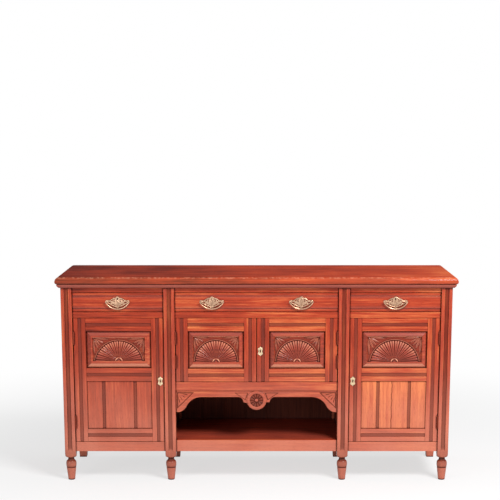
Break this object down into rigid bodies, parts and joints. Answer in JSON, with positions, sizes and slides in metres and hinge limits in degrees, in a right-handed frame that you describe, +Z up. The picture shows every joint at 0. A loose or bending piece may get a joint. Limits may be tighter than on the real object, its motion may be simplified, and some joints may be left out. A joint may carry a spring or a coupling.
{
  "type": "sideboard chiffonier",
  "caption": "Mahogany sideboard chiffonier with drawers over carved fan-panel doors, an open pot shelf under a shaped apron, turned feet and brass drop handles.",
  "frame": {"origin": "on the floor, under the centre of the top's outline", "axes": "+X to the right along the front, front faces -Y, +Z up"},
  "size_m": [1.83, 0.535, 0.955],
  "materials": {
    "show_wood": "polished red-brown mahogany with wear on the arrises",
    "inside_wood": "plain unpolished softwood, darkened with age",
    "brass": "cast brass, lightly tarnished",
    "iron": "bare iron, dull"
  },
  "bodies": {
    "carcass": {"top_board": "show_wood", "top_moulding": "show_wood", "front_post_outer_left": "show_wood", "front_post_inner_left": "show_wood", "front_post_inner_right": "show_wood", "front_post_outer_right": "show_wood", "rear_posts": "show_wood", "end_rails": "show_wood", "end_panels": "show_wood", "partitions": "inside_wood", "front_rails": "show_wood", "pot_shelf": "show_wood", "cupboard_boards": "inside_wood", "back_panels": "inside_wood", "drawer_runners": "inside_wood", "door_stops": "inside_wood", "apron": "show_wood", "post_hinge_leaves": "brass"},
    "left_drawer": {"left_drawer_front": "show_wood", "left_drawer_box": "inside_wood", "left_handle_plate": "brass"},
    "centre_drawer": {"centre_drawer_front": "show_wood", "centre_drawer_box": "inside_wood", "centre_handle_plates": "brass"},
    "right_drawer": {"right_drawer_front": "show_wood", "right_drawer_box": "inside_wood", "right_handle_plate": "brass"},
    "left_bail": {"left_handle_bail": "brass"},
    "centre_left_bail": {"centre_handle_bail_left": "brass"},
    "centre_right_bail": {"centre_handle_bail_right": "brass"},
    "right_bail": {"right_handle_bail": "brass"},
    "left_door_bolt": {"left_door_lock_bolt": "iron"},
    "right_door_bolt": {"right_door_lock_bolt": "iron"},
    "centre_right_door_bolt": {"centre_right_door_lock_bolt": "iron"},
    "centre_left_door_bolt": {"centre_left_door_bolt_rod": "iron"},
    "left_door": {"left_door_fan_panel": "show_wood", "left_door_hinge_leaves": "brass", "left_door_lock": "brass", "left_door_plank_panel": "show_wood", "left_door_rails": "show_wood", "left_door_stiles": "show_wood"},
    "right_door": {"right_door_fan_panel": "show_wood", "right_door_hinge_leaves": "brass", "right_door_lock": "brass", "right_door_plank_panel": "show_wood", "right_door_rails": "show_wood", "right_door_stiles": "show_wood"},
    "centre_left_door": {"centre_left_door_bolt_plate": "iron", "centre_left_door_fan_panel": "show_wood", "centre_left_door_hinge_leaves": "brass", "centre_left_door_rails": "show_wood", "centre_left_door_stiles": "show_wood"},
    "centre_right_door": {"centre_right_door_fan_panel": "show_wood", "centre_right_door_hinge_leaves": "brass", "centre_right_door_lock": "brass", "centre_right_door_rails": "show_wood", "centre_right_door_stiles": "show_wood"}
  },
  "joints": [
    {"name": "left_drawer_slide", "type": "slide", "parent": "carcass", "child": "left_drawer", "axis": [0, -1, 0], "range_m": [0, 0.32]},
    {"name": "centre_drawer_slide", "type": "slide", "parent": "carcass", "child": "centre_drawer", "axis": [0, -1, 0], "range_m": [0, 0.32]},
    {"name": "right_drawer_slide", "type": "slide", "parent": "carcass", "child": "right_drawer", "axis": [0, -1, 0], "range_m": [0, 0.32]},
    {"name": "left_door_hinge", "type": "hinge", "parent": "carcass", "child": "left_door", "pos_m": [-0.8392, -0.2383, 0.5], "axis": [0, 0, -1], "range_deg": [0, 110]},
    {"name": "right_door_hinge", "type": "hinge", "parent": "carcass", "child": "right_door", "pos_m": [0.8392, -0.2383, 0.5], "axis": [0, 0, 1], "range_deg": [0, 110]},
    {"name": "centre_left_door_hinge", "type": "hinge", "parent": "carcass", "child": "centre_left_door", "pos_m": [-0.3712, -0.2383, 0.6165], "axis": [0, 0, -1], "range_deg": [0, 110]},
    {"name": "centre_right_door_hinge", "type": "hinge", "parent": "carcass", "child": "centre_right_door", "pos_m": [0.3712, -0.2383, 0.6165], "axis": [0, 0, 1], "range_deg": [0, 110]},
    {"name": "left_bail_pivot", "type": "hinge", "parent": "left_drawer", "child": "left_bail", "pos_m": [-0.634, -0.2461, 0.84], "axis": [-1, 0, 0], "range_deg": [0, 80]},
    {"name": "centre_left_bail_pivot", "type": "hinge", "parent": "centre_drawer", "child": "centre_left_bail", "pos_m": [-0.204, -0.2461, 0.84], "axis": [-1, 0, 0], "range_deg": [0, 80]},
    {"name": "centre_right_bail_pivot", "type": "hinge", "parent": "centre_drawer", "child": "centre_right_bail", "pos_m": [0.204, -0.2461, 0.84], "axis": [-1, 0, 0], "range_deg": [0, 80]},
    {"name": "right_bail_pivot", "type": "hinge", "parent": "right_drawer", "child": "right_bail", "pos_m": [0.634, -0.2461, 0.84], "axis": [-1, 0, 0], "range_deg": [0, 80]},
    {"name": "left_door_bolt_throw", "type": "slide", "parent": "left_door", "child": "left_door_bolt", "axis": [1, 0, 0], "range_m": [0, 0.008]},
    {"name": "right_door_bolt_throw", "type": "slide", "parent": "right_door", "child": "right_door_bolt", "axis": [-1, 0, 0], "range_m": [0, 0.008]},
    {"name": "centre_right_door_bolt_throw", "type": "slide", "parent": "centre_right_door", "child": "centre_right_door_bolt", "axis": [-1, 0, 0], "range_m": [0, 0.008]},
    {"name": "centre_left_door_bolt_throw", "type": "slide", "parent": "centre_left_door", "child": "centre_left_door_bolt", "axis": [0, 0, 1], "range_m": [0, 0.01]}
  ]
}
